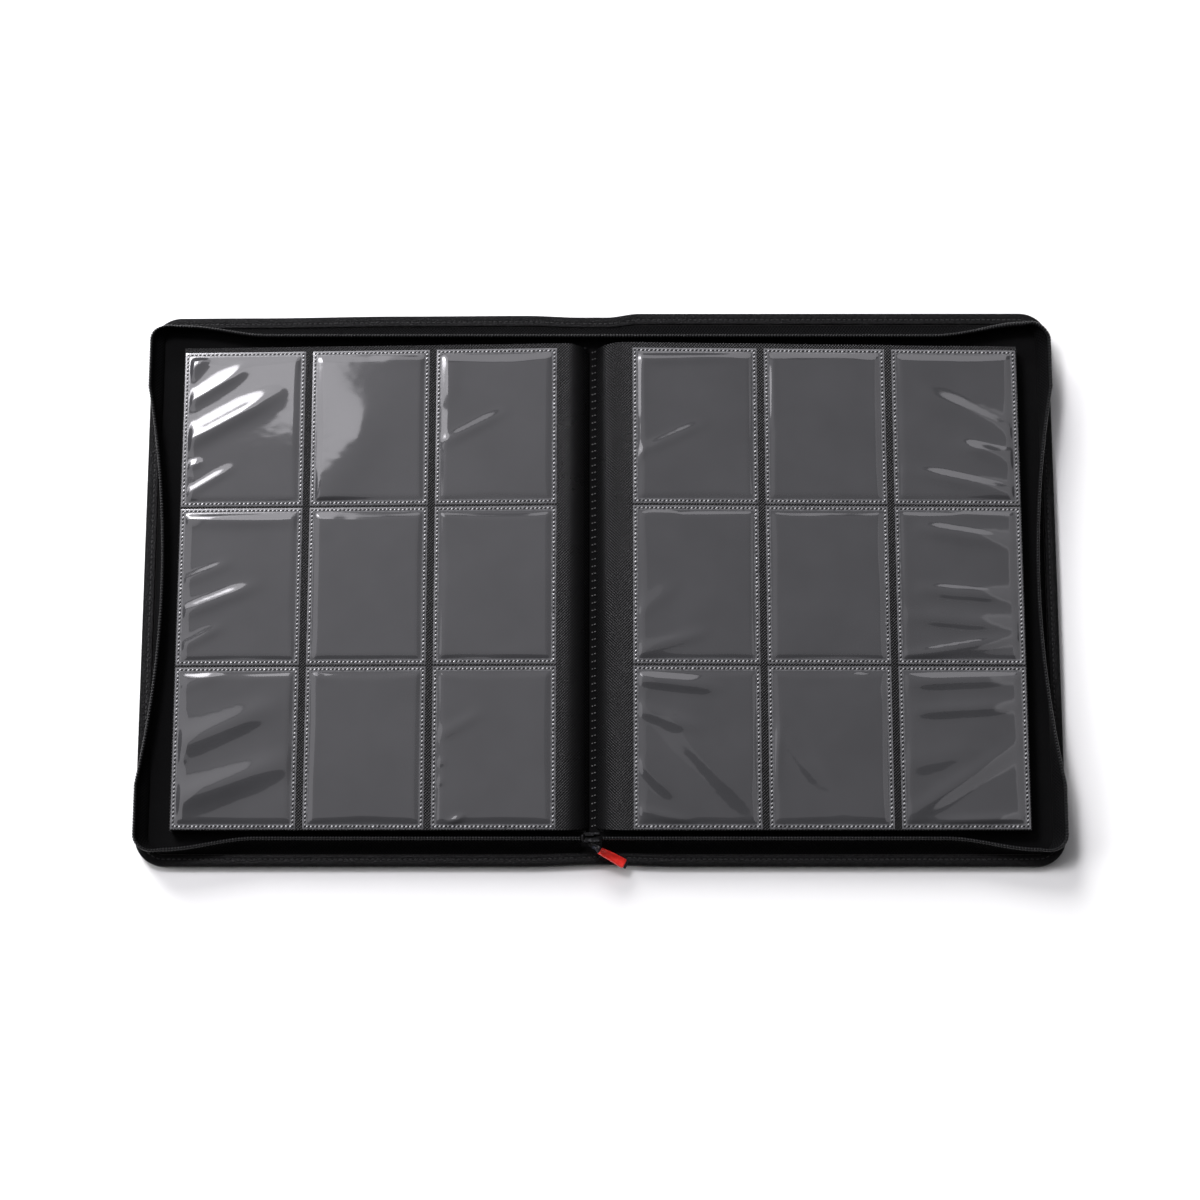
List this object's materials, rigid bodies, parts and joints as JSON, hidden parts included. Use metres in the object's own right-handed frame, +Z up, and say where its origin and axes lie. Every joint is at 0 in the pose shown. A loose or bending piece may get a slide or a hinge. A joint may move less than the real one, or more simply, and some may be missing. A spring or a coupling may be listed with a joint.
{
  "type": "zipper trading card binder",
  "caption": "Zip-round card binder lying open: padded leatherette covers, film pocket pages in a grid, zip tape on three sides and a slider with a red pull.",
  "frame": {"origin": "middle of the spine's underside, on the table the open binder lies on", "axes": "+X to the back cover's fore-edge, +Y to the head of the pages, +Z up from the table"},
  "size_m": [0.556, 0.342, 0.0217],
  "materials": {
    "leatherette": "fine-grained black leatherette",
    "padding": "thin foam sheet",
    "board": "grey bookbinder's board",
    "lining": "matt black cloth",
    "zip_tape": "woven black tape",
    "zip_nylon": "satin black nylon",
    "woven_backing": "dark grey twill weave",
    "pocket_film": "clear glossy film over the dark backing",
    "slider_metal": "black-coated metal",
    "red_rubber": "satin red rubber",
    "pull_strap": "black strap"
  },
  "bodies": {
    "spine": {"spine_skin": "leatherette", "spine_padding": "padding", "spine_board": "board", "spine_lining": "lining", "spine_top_band": "leatherette", "spine_bottom_band": "leatherette", "gutter_strip": "woven_backing", "left_leaf_roots": "woven_backing", "right_leaf_roots": "woven_backing", "zip_top_end": "zip_tape", "zip_bottom_end": "zip_tape"},
    "front_cover": {"front_cover_skin": "leatherette", "front_cover_padding": "padding", "front_cover_board": "board", "front_cover_lining": "lining", "front_edge_band": "leatherette", "front_zip_tape": "zip_tape", "front_zip_teeth": "zip_nylon"},
    "left_pages": {"left_leaf_2": "woven_backing", "left_leaf_3": "woven_backing", "left_leaf_4": "woven_backing", "left_leaf_5": "woven_backing", "left_leaf_6": "woven_backing", "left_leaf_7": "woven_backing", "left_leaf_8": "woven_backing", "left_leaf_9": "woven_backing", "left_leaf_10": "woven_backing"},
    "left_top_leaf": {"left_leaf_1": "woven_backing", "left_pocket_strip_1": "pocket_film", "left_pocket_strip_2": "pocket_film", "left_pocket_strip_3": "pocket_film"},
    "back_cover": {"back_cover_skin": "leatherette", "back_cover_padding": "padding", "back_cover_board": "board", "back_cover_lining": "lining", "back_edge_band": "leatherette", "back_zip_tape": "zip_tape", "back_zip_teeth": "zip_nylon"},
    "right_pages": {"right_leaf_2": "woven_backing", "right_leaf_3": "woven_backing", "right_leaf_4": "woven_backing", "right_leaf_5": "woven_backing", "right_leaf_6": "woven_backing", "right_leaf_7": "woven_backing", "right_leaf_8": "woven_backing", "right_leaf_9": "woven_backing", "right_leaf_10": "woven_backing"},
    "right_top_leaf": {"right_leaf_1": "woven_backing", "right_pocket_strip_1": "pocket_film", "right_pocket_strip_2": "pocket_film", "right_pocket_strip_3": "pocket_film"},
    "zip_end": {"zip_bottom_stop": "slider_metal"},
    "slider": {"slider_body": "slider_metal", "slider_bridge": "slider_metal"},
    "pull": {"pull_link": "slider_metal", "pull_strap": "pull_strap", "pull_tab": "red_rubber"}
  },
  "joints": [
    {"name": "front_cover_hinge", "type": "hinge", "parent": "spine", "child": "front_cover", "pos_m": [-0.012, 0, 0.0047], "axis": [0, 1, 0], "range_deg": [0, 90], "deforming": ["zip_top_end"]},
    {"name": "left_pages_hinge", "type": "hinge", "parent": "spine", "child": "left_pages", "pos_m": [-0.0095, 0, 0.0072], "axis": [0, 1, 0], "range_deg": [0, 90], "deforming": ["left_leaf_roots"]},
    {"name": "left_top_leaf_turn", "type": "hinge", "parent": "left_pages", "child": "left_top_leaf", "pos_m": [0, 0, 0.01545], "axis": [0, -1, 0], "range_deg": [-179, 0]},
    {"name": "back_cover_hinge", "type": "hinge", "parent": "spine", "child": "back_cover", "pos_m": [0.012, 0, 0.0047], "axis": [0, -1, 0], "range_deg": [0, 90], "deforming": ["zip_bottom_end"]},
    {"name": "right_pages_hinge", "type": "hinge", "parent": "spine", "child": "right_pages", "pos_m": [0.0095, 0, 0.0072], "axis": [0, -1, 0], "range_deg": [0, 90], "deforming": ["right_leaf_roots"]},
    {"name": "right_top_leaf_turn", "type": "hinge", "parent": "right_pages", "child": "right_top_leaf", "pos_m": [0, 0, 0.01545], "axis": [0, 1, 0], "range_deg": [-179, 0]},
    {"name": "zip_end_turn", "type": "hinge", "parent": "spine", "child": "zip_end", "pos_m": [0, -0.1553, 0.0167], "axis": [0, -1, 0], "range_deg": [0, 90]},
    {"name": "slider_slide", "type": "slide", "parent": "zip_end", "child": "slider", "axis": [1, 0, 0], "range_m": [0, 0.18]},
    {"name": "pull_swing", "type": "hinge", "parent": "slider", "child": "pull", "pos_m": [-0.005, -0.15895, 0.0167], "axis": [0, 0, 1], "range_deg": [-131, 6]}
  ],
  "couplings": [
    {"joint": "left_pages_hinge", "follows": "front_cover_hinge", "ratio": 1},
    {"joint": "right_pages_hinge", "follows": "back_cover_hinge", "ratio": 1},
    {"joint": "zip_end_turn", "follows": "back_cover_hinge", "ratio": 1}
  ]
}
